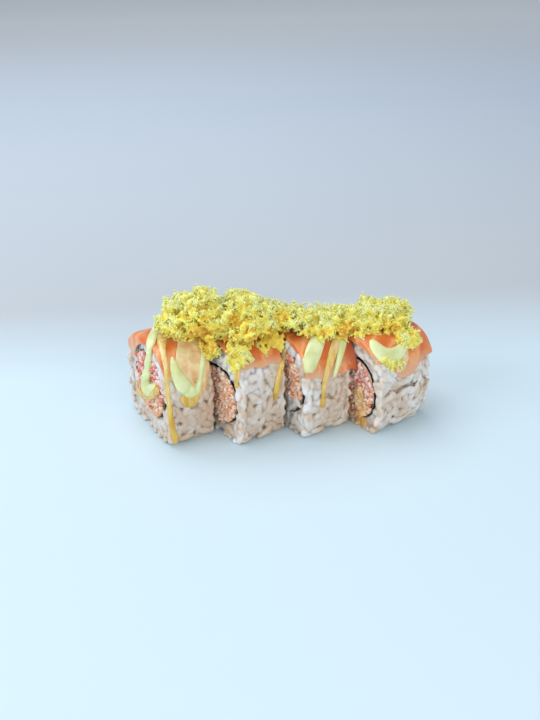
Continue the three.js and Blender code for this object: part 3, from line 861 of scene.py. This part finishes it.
flakes = {
    "floor": 37.6, "root": 3.0, "deep": 2.0,  # the salmon's top, and how far in the clumps lie
    "core": 2.9, "coreFloor": 39.3, "coreBack": 9, "coreEnds": (-43.5, 46.5),  # the mound under them
    "farSide": 4,  # beyond this y the near edge's outline doesn't count
    # where clumps are tried, their sizes, and the beads that walk out from each heart
    "tries": 1500, "ends": (-45.5, 48.5), "around": (-0.08, 1.04), "depths": (1.2, 3.4), "spacing": 3.1,
    "clump": (1.9, 3.6), "low": 41, "lowSize": 0.75, "heart": 0.62, "reach": 1.35,
    "walks": 2.9, "beads": (5, 11), "bead": (0.36, 0.6), "step": 0.68, "voxel": 0.42,
    # strings of small drops on the clumps: how many strings, the drops in one, their sizes and step
    "stringCount": 2100, "stringDrops": (3, 6),
    "strings": {"lacyFlakes": ((0.26, 0.46), 0.42), "fineFlakes": ((0.18, 0.34), 0.36),
                "hairFlakes": ((0.13, 0.26), 0.32)},
    # x, height of the top, y of the middle, half width
    "skyline": [
        (-47, 44, 1, 5), (-42, 53, 1, 8.5), (-37, 56, 1.5, 10), (-31, 57.5, 2, 11), (-26, 55.5, 2, 11),
        (-22.5, 50, 2, 11), (-17, 56.5, 1, 11), (-12, 56.5, 1, 11), (-5, 49, 1, 11), (3, 46.8, 2, 10.5),
        (10, 45.5, 2, 10), (18, 44, 2, 10.5), (26, 44, 3, 11), (33, 45.5, 4, 11), (42, 45.5, 5, 10),
        (48, 44, 6, 7), (50.5, 41, 6, 4),
    ],
    # the ragged near edge, as x and y in pixels, and the rows of clumps that hang there
    "edge": [
        (158, 334), (165, 337), (180, 341), (190, 341), (200, 342), (205, 352), (209, 358), (213, 358),
        (215, 346), (219, 338), (226, 339), (229, 354), (232, 367), (238, 370), (244, 366), (248, 352),
        (251, 342), (256, 340), (262, 338), (275, 336), (285, 334), (291, 331), (297, 333), (303, 338),
        (310, 338), (320, 338), (332, 340), (343, 343), (350, 348), (354, 346), (358, 342), (362, 335),
        (372, 336), (388, 334), (394, 339), (400, 344), (406, 346), (412, 348), (418, 349),
    ],
    "edgeTop": 319, "edgeSize": (3.0, 5.2), "edgeStep": 4.6, "edgeMargin": 3.5, "edgeJitter": 1.5,
    # hangingPale: the painted paleness the hanging flakes get instead of the painted light that grows with
    # height
    "hanging": 37, "hangingPale": 0.55,  # below this height the flakes hang over the side
    # thin flat flakes: x, y, half width and half height in pixels, and turn
    "plates": [(274, 339, 13, 12, -20), (264, 348, 6, 10, 10), (239, 356, 9, 12, 10), (205, 350, 9, 8, 30)],
    "smoothPlates": 2, "plateStrings": 0.3,  # on the first of them fewer strings stand
    # browner places, bare places and single drops: x, y and radius in pixels
    "brown": [(200, 335, 17), (234, 321, 10), (283, 318, 11), (346, 327, 15), (392, 327, 11),
              (273, 342, 20), (209, 350, 11)],
    "bare": [(413, 326, 4), (297, 333, 3), (389, 334, 2.5), (352, 340, 3)],
    "drops": [(384, 362, 4.5), (392, 366, 5), (398, 362, 4), (388, 364, 3)],
}


def heapPoint(x, angle, deeper=0.0):
    top, middle, wide = tableAt(flakes["skyline"], x)
    rise = top - flakes["deep"] - flakes["floor"] if sin(angle) > 0 else flakes["root"]
    share = 1 - deeper / max(wide, 1)
    return np.array((x, middle + wide * cos(angle) * share,
                     flakes["floor"] + (rise * share) * sin(angle)))


# Where a clump hangs on the near side. Over a gap it bridges from the nearer of its two sides.
def lobePlace(x, y, radius):
    hits = [hit for hit in (castTo(x + step, y) for step in (0, -10, 10)) if hit]
    if not hits:
        return None
    nearest = min(hits, key=lambda hit: hit["distance"])
    hit = hits[0] if hits[0]["distance"] - nearest["distance"] < 4 else nearest
    radius *= hit["pixel"]
    return np.array(shot["place"]) / mm + wayTo(x, y) * (hit["distance"] - radius * 0.35), radius


def isBare(x, y, margin):
    return any(hypot(x - across, y - down) < radius + margin for across, down, radius in flakes["bare"])


# Whether a place shows above the near edge, by at least a margin in pixels.
def aboveEdge(place, margin):
    across, down = pixelOf(place)
    return down < tableAt(flakes["edge"], across)[0] - margin


# How far corners lie from a line of sight, as a share of a radius in pixels.
def fromSight(corners, x, y, radius):
    way, offset = wayTo(x, y), (corners - shot["place"]) / mm
    depth = offset @ way
    away = np.linalg.norm(offset - depth[:, None] * way, axis=1)
    return away / (radius * depth / shot["focal"])


# The clumps' middles and sizes: over the whole heap, along its near edge, and the single drops.
def clumpPlaces():
    spots = []
    for _ in range(flakes["tries"]):
        x, angle = dice.uniform(*flakes["ends"]), pi * dice.uniform(*flakes["around"])
        place = heapPoint(x, angle, dice.uniform(*flakes["depths"])) + (*rowShift, 0)
        if place[1] > flakes["farSide"] or (aboveEdge(place, 4) and not isBare(*pixelOf(place), 6)):
            spots.append((place,))
    clumps = []
    for (place,) in spreadOut(spots, flakes["spacing"]):
        size = flakes["lowSize"] if place[2] < flakes["low"] else 1
        clumps.append((place, dice.uniform(*flakes["clump"]) * size))
    jitter = flakes["edgeJitter"]
    for x in np.arange(flakes["edge"][0][0], flakes["edge"][-1][0], flakes["edgeStep"]):
        y = tableAt(flakes["edge"], x)[0] - flakes["edgeMargin"]
        while y > flakes["edgeTop"]:
            clump = lobePlace(x + dice.uniform(-jitter, jitter), y, dice.uniform(*flakes["edgeSize"]))
            if not isBare(x, y, 3):
                clumps.append(clump)
            y -= flakes["edgeStep"]
    clumps += [lobePlace(*drop) for drop in flakes["drops"]]
    return [clump for clump in clumps if clump]


# A random walk of beads that drifts away from where it starts and forks now and then.
def beadWalk(start, drift, count, spread):
    beads, tips = [], [start]
    while len(beads) < count:
        tip = tips[dice.integers(len(tips))]
        way = unit(dice.normal(0, 1, 3) + drift * spread)
        tip = tip + way * flakes["step"] * dice.uniform(0.8, 1.1)
        beads.append(tip)
        tips = (tips + [tip])[-6:]
    return beads


# A thin flat flake: drops that ran together into a sheet with a ragged rim, seen from the front.
def plateBeads(x, y, wide, high, turn):
    middle, size = lobePlace(x, y, 4)
    across, up, back = np.array(looking.transposed()) * (size / 4)
    cosine, sine = cos(radians(turn)), sin(radians(turn))
    beads = []
    for _ in range(int(wide * high * 2)):
        angle, reach = anyAngle(), anyReach()
        reach *= 1 + 0.16 * sin(3 * angle + x) + 0.12 * sin(7 * angle + y) + 0.1 * sin(13 * angle)
        a, b = wide * reach * cos(angle), high * reach * sin(angle)
        a, b = a * cosine - b * sine, a * sine + b * cosine
        bulge = 2.5 - 3.5 * reach**2 + 1.3 * sin(a * 0.7 + y) * sin(b * 0.65 + x) + dice.normal(0, 0.5)
        beads.append((middle + across * a + up * b + back * bulge, np.eye(3) * dice.uniform(0.3, 0.5), 0.5))
    return beads


# What lies under the crumbs: a closed mound that follows the skyline.
def heapCore():
    core = primitive("cylinder", "heapCore", vertices=24, end_fill_type="TRIFAN")
    alone(core)
    bpy.ops.object.mode_set(mode="EDIT")
    for height in np.linspace(-0.9, 0.9, 19):
        bpy.ops.mesh.select_all(action="SELECT")
        bpy.ops.mesh.bisect(plane_co=(0, 0, height), plane_no=(0, 0, 1))
    bpy.ops.object.mode_set(mode="OBJECT")
    corners = cornersOf(core)
    for index, (across, up, end) in enumerate(corners):
        x = float(np.interp(end, (-1, 1), flakes["coreEnds"]))
        point = heapPoint(x, atan2(up, across), flakes["core"])
        middle = np.array((x, tableAt(flakes["skyline"], x)[1], flakes["floor"]))
        corners[index] = middle + (point - middle) * min(1, hypot(across, up)) + (*rowShift, 0)
    corners[:, 2] = np.maximum(corners[:, 2], flakes["coreFloor"])
    for corner in corners:
        while corner[1] < flakes["farSide"] and not aboveEdge(corner, flakes["coreBack"]):
            corner[1] += 0.5
    setCorners(core, corners * mm)
    faceOut(core)
    return core


# How pale each corner is, as painted light and shade: 0, painted shade, in the hollows low down, 1,
# painted light, at the tips on top.
def paintedLightAndShade(corners, clumps, batch=4000):
    places = np.array([place for place, _ in clumps])
    radii = np.array([radius for _, radius in clumps])
    shares = np.empty(len(corners))
    for first in range(0, len(corners), batch):
        away = np.linalg.norm(corners[first : first + batch, None] / mm - places[None], axis=2) / radii
        shares[first : first + batch] = away.min(axis=1)
    tops = np.array([tableAt(flakes["skyline"], x / mm - rowShift[0])[0] for x in corners[:, 0]])
    heights = np.clip((corners[:, 2] / mm - 36) / (tops - 38), 0, 1)
    heights[corners[:, 2] / mm < flakes["hanging"]] = flakes["hangingPale"]
    tones = np.clip((shares - 0.5) / 0.8, 0, 1) * 0.5 + heights * 0.5
    for x, y, radius in flakes["brown"]:
        tones *= 1 - 0.5 * np.clip(1.6 - 1.6 * fromSight(corners, x, y, radius), 0, 1)
    return tones


def flakeHeap():
    bead = primitive("ico_sphere", "bead", subdivisions=1, radius=1)
    clumps = clumpPlaces()
    copies = [(middle, np.eye(3) * radius * flakes["heart"], 0.5) for middle, radius in clumps]
    for middle, radius in clumps:
        for _ in range(int(flakes["walks"] * radius**1.6)):
            way = unit(dice.normal(0, 1, 3) + (0, -0.3, 0.35))
            start = middle + way * radius * dice.uniform(0.45, 0.8)
            for place in beadWalk(start, way, dice.integers(*flakes["beads"]), 0.35):
                size = dice.uniform(*flakes["bead"])
                if np.linalg.norm(place - middle) < radius * flakes["reach"]:
                    copies.append((place, np.eye(3) * size * dice.uniform(0.8, 1.2, 3), 0.5))
    for plate in flakes["plates"]:
        copies += plateBeads(*plate)
    heap = joinCopies("tempuraFlakes", bead, copies, extra=heapCore())
    takeAway(bead)
    fuse(heap, flakes["voxel"], 1)
    # the tone is the painted light and shade
    setTones(heap.data, paintedLightAndShade(cornersOf(heap), clumps))
    return heap


# Strings of drops, finer than the clumps, that stand out all over them.
def flakeStrings(name, heap, sizes, reach):
    drop = primitive("ico_sphere", "flakeDrop", subdivisions=1, radius=1)
    corners = cornersOf(heap)
    tones, normals = np.empty(len(corners)), np.empty(len(corners) * 3)
    heap.data.attributes["tone"].data.foreach_get("value", tones)
    heap.data.vertex_normals.foreach_get("vector", normals)
    normals = normals.reshape(-1, 3)
    chances = (0.15 + tones) * (corners[:, 2] > 25 * mm)
    for x, y, wide, _, _ in flakes["plates"][: flakes["smoothPlates"]]:
        middle, radius = lobePlace(x, y, wide)
        chances[np.linalg.norm(corners / mm - middle, axis=1) < radius] *= flakes["plateStrings"]
    copies = []
    for index in dice.choice(len(corners), flakes["stringCount"], replace=False, p=chances / chances.sum()):
        place, count = corners[index] / mm, dice.integers(*flakes["stringDrops"])
        way = unit(normals[index] + dice.normal(0, 0.35, 3))
        for step in range(count):
            size = dice.uniform(*sizes) * dice.uniform(0.7, 1.4, 3) * (1.15 - 0.35 * step / count)
            # drops further out along a string are paler: painted light at the tips
            tone = float(np.clip(tones[index] + 0.3 * step / count + dice.normal(0, 0.08), 0, 1))
            copies.append((place, np.eye(3) * size, tone))
            way = unit(way + dice.normal(0, 0.8, 3))
            place = place + way * reach
    piece = joinCopies(name, drop, copies)
    takeAway(drop)
    return piece


# Tempura crumbs: fried batter, dry and brittle, with painted shade that turns the hollows and the low
# parts ochre brown, and painted light that makes the tips and the top pale greenish.
def flakeMaterial():
    material, add, where = startMaterial(
        "fried tempura crumbs", soak=(0.35, 0.0012, (1, 0.85, 0.3)), Roughness=0.5, IOR=1.45)
    patches = add("TexNoise", {"Vector": where, "Scale": 170, "Detail": 4, "Roughness": 0.6})
    # the tone is painted light and shade: pale at the tips and on top, ochre in the hollows and low down
    pale = add("Attribute", attribute_name="tone", out="Fac")
    mottle = add("MapRange", (patches, 0.3, 0.7, -0.13, 0.13))
    share = add("Math", (pale, mottle), operation="ADD")
    yellow = add("ValToRGB", (share,), (
        (0.03, "#c48a30"), (0.19, "#dbaa3c"), (0.36, "#ecd452"), (0.6, "#eee76c"), (0.95, "#ebf2a8")))
    # painted shade: pointiness darkens the hollows towards ochre
    hollowShade = add("ValToRGB", (add("NewGeometry", out="Pointiness"),),
                      ((0.42, "#d98c34"), (0.48, "#fae9b8"), (0.53, "#ffffff")))
    return coloured(material, add("Mix", {0: 0.42, 6: yellow, 7: hollowShade}, out=2,
                                      data_type="RGBA", blend_type="MULTIPLY"))


heap = flakeHeap()
friedFlakes = flakeMaterial()
finish(heap, friedFlakes, "flakes", "tempura_flakes")
for name, (dropSizes, dropStep) in flakes["strings"].items():
    finish(flakeStrings(name, heap, dropSizes, dropStep), friedFlakes, "flakes")
print("flakes are done")


# Sauces: squeezed over the row from a bottle. A run is x, y and width in pixels, and a film, where the
# thin sauce has spread, is y, left and right.

sauces = {
    "mayonnaise": {
        "thick": 1.7, "voxel": 0.3, "swell": 1.15,
        "runs": [
            [(160, 322, 9), (156, 331, 9), (151.5, 340, 9), (150, 350, 8.5), (149.5, 360, 8.5),
             (148.5, 370, 9), (146.5, 378, 10), (146.5, 386, 12), (149, 390, 14), (153, 390, 12),
             (156, 386, 8)],
            [(172, 358, 2.5), (173.5, 364, 7), (175, 371, 10), (178, 378, 12.5), (183, 386, 14),
             (189, 391.5, 13), (194.5, 393, 11), (198, 387, 7), (199.5, 380, 5.5), (201, 370, 5),
             (203, 358, 5.5), (204.5, 350, 6)],
            [(322, 331, 11), (318, 340, 14), (314, 350, 16), (310.5, 360, 16), (308.5, 367, 11)],
            [(344, 336, 8), (341.5, 348, 7.5), (339, 358, 7), (336.5, 367, 6), (334, 375, 4.5)],
            [(373, 343, 8), (376, 348, 13), (381, 354, 16), (387, 357.5, 17), (393, 356, 15),
             (399, 351.5, 12), (403, 347, 9)],
        ],
    },
    "spicySauce": {
        "thick": 1.2, "voxel": 0.28, "swell": 1.15,
        "runs": [
            [(168, 327, 11), (164, 333, 12), (161.5, 341, 9), (162.5, 350, 6.5), (164.5, 360, 5.5),
             (166.3, 370, 4.5), (166.8, 382, 4.5), (168, 394, 5), (169.5, 406, 5.5), (171, 418, 5.5),
             (172.8, 430, 6.5), (175.3, 440, 8)],
            [(236, 358, 7), (237.3, 367, 6.5), (237.3, 376, 5.5), (236.6, 386, 5)],
            [(284.5, 350, 5.5), (282.3, 361, 6), (280, 371, 6.5), (277.8, 381, 7), (276.3, 390, 7),
             (275, 398, 5)],
            [(338, 334, 9), (334.5, 346, 9), (331, 358, 9), (328, 368, 8), (324.8, 380, 6),
             (323.3, 392, 5.5), (322.7, 405, 6)],
            [(183.5, 398, 7), (188, 402, 12), (191.5, 402, 12), (196, 398, 8)],
            [(138, 382, 4), (139, 389, 8), (143, 394, 9), (149, 396, 9), (155, 394, 8), (158, 388, 5)],
        ],
    },
    "thinSauce": {
        "thick": 0.8, "voxel": 0.3, "grid": 2.2, "overlap": 2.2,
        "films": [
            [(341, 180, 203), (352, 178, 206), (362, 177, 207.5), (372, 178, 207.5), (382, 180, 206),
             (391, 183, 203), (398, 187, 198)],
            [(347, 399, 406), (358, 397.5, 407), (366, 396.5, 404.5), (373, 397, 401)],
            [(343, 312, 320), (352, 307, 318), (360, 303.5, 317), (368, 303, 315), (373, 306, 311)],
            [(388, 356, 360), (398, 356, 363), (408, 358, 365.5), (416, 358.5, 366), (424, 357, 365.5),
             (432, 354, 361)],
        ],
    },
}


def smoothed(rows, rounds):
    rows = np.array(rows)
    for _ in range(rounds):
        rows[1:-1] = (rows[:-2] + rows[1:-1] * 2 + rows[2:]) / 4
    return rows


# Eases a run through its points, one drop every pixel or so.
def alongRun(run):
    run = np.array(run, float)
    lengths = np.concatenate(((0,), np.cumsum(np.linalg.norm(np.diff(run[:, :2], axis=0), axis=1))))
    at = np.linspace(0, lengths[-1], int(lengths[-1] * 1.2) + 2)
    return smoothed(np.column_stack([np.interp(at, lengths, column) for column in run.T]), 6)


# A flat drop that lies on the surface, standing up along its normal.
def dropOn(place, outward, width, thick):
    axes = lyingAxes(unit(outward), 0) * np.array((width / 2, width / 2, thick / 2))[:, None]
    return place + unit(outward) * thick * 0.12, axes, 0.5


def pourSauce(name):
    setting = sauces[name]
    drop = primitive("ico_sphere", "drop", subdivisions=2, radius=1)
    copies = []
    for run in setting.get("runs", ()):
        found = [(castTo(x, y), width) for x, y, width in alongRun(run)]
        found = [(hit, width * hit["pixel"] * setting["swell"]) for hit, width in found if hit]
        places = smoothed([hit["place"] for hit, _ in found], 8)
        normals = smoothed([hit["outward"] for hit, _ in found], 12)
        for (_, wide), place, normal in zip(found, places, normals):
            copies.append(dropOn(place, normal, wide, setting["thick"] * min(1.3, 0.5 + wide / 5)))
    for film in setting.get("films", ()):
        for y in np.arange(film[0][0], film[-1][0], setting["grid"]):
            left, right = tableAt(film, y)
            for x in np.linspace(left, right, max(2, int((right - left) / setting["grid"]) + 1)):
                hit = castTo(x, y)
                if hit:
                    wide = setting["overlap"] * setting["grid"] * hit["pixel"]
                    copies.append(dropOn(hit["place"], hit["outward"], wide, setting["thick"]))
    piece = joinCopies(name, drop, copies)
    takeAway(drop)
    fuse(piece, setting["voxel"], 4)
    return aboveGround(piece)


# Mayonnaise: an opaque, glossy emulsion, pale yellow with a trace of green.
def mayonnaiseMaterial():
    material, add, where = startMaterial(
        "squeezed mayonnaise", soak=(0.3, 0.002, (1, 0.95, 0.5)), wet=(0.4, 0.12), Roughness=0.25, IOR=1.47)
    streaks = add("TexNoise", {"Vector": where, "Scale": 220, "Detail": 1})
    return coloured(material, add("ValToRGB", (streaks,), ((0.3, "#d3dc98"), (0.65, "#e2ecb8"))))


# Chilli mayonnaise, thin enough to run: golden where it gathers low down, and streaked with peach
# and orange where it is a film. Above the lowest height it gets paler.
def spicyMaterial(name, lowest, ramp):
    material, add, where = startMaterial(
        name, soak=(0.35, 0.002, (1, 0.7, 0.3)), wet=(0.4, 0.1), Roughness=0.22, IOR=1.45)
    height = add("SeparateXYZ", {"Vector": where}, out="Z")
    up = add("MapRange", (height, lowest, 0.034, 0, 0.5))
    stretched = add("Mapping", {"Vector": where, "Scale": (1, 1, 0.14)})
    streaks = add("TexNoise", {"Vector": stretched, "Scale": 520, "Detail": 2})
    streaks = add("MapRange", (streaks, 0.35, 0.65, 0, 0.5))
    share = add("Math", (streaks, up), operation="ADD")
    return coloured(material, add("ValToRGB", (share,), ramp))


thinChilli = spicyMaterial("thin chilli mayonnaise", -0.005, (
    (0.1, "#dca65a"), (0.4, "#e0ae74"), (0.65, "#e9c58e"), (0.95, "#efd8a8")))
chilli = spicyMaterial("chilli mayonnaise", 0.012, (
    (0.15, "#cf9f35"), (0.4, "#dcb84e"), (0.7, "#e5c67c"), (1.0, "#ecd5a0")))
finish(pourSauce("thinSauce"), thinChilli, "spicy_sauce")
finish(pourSauce("spicySauce"), chilli, "spicy_sauce")
finish(pourSauce("mayonnaise"), mayonnaiseMaterial(), "mayonnaise")
print("sauces are done")
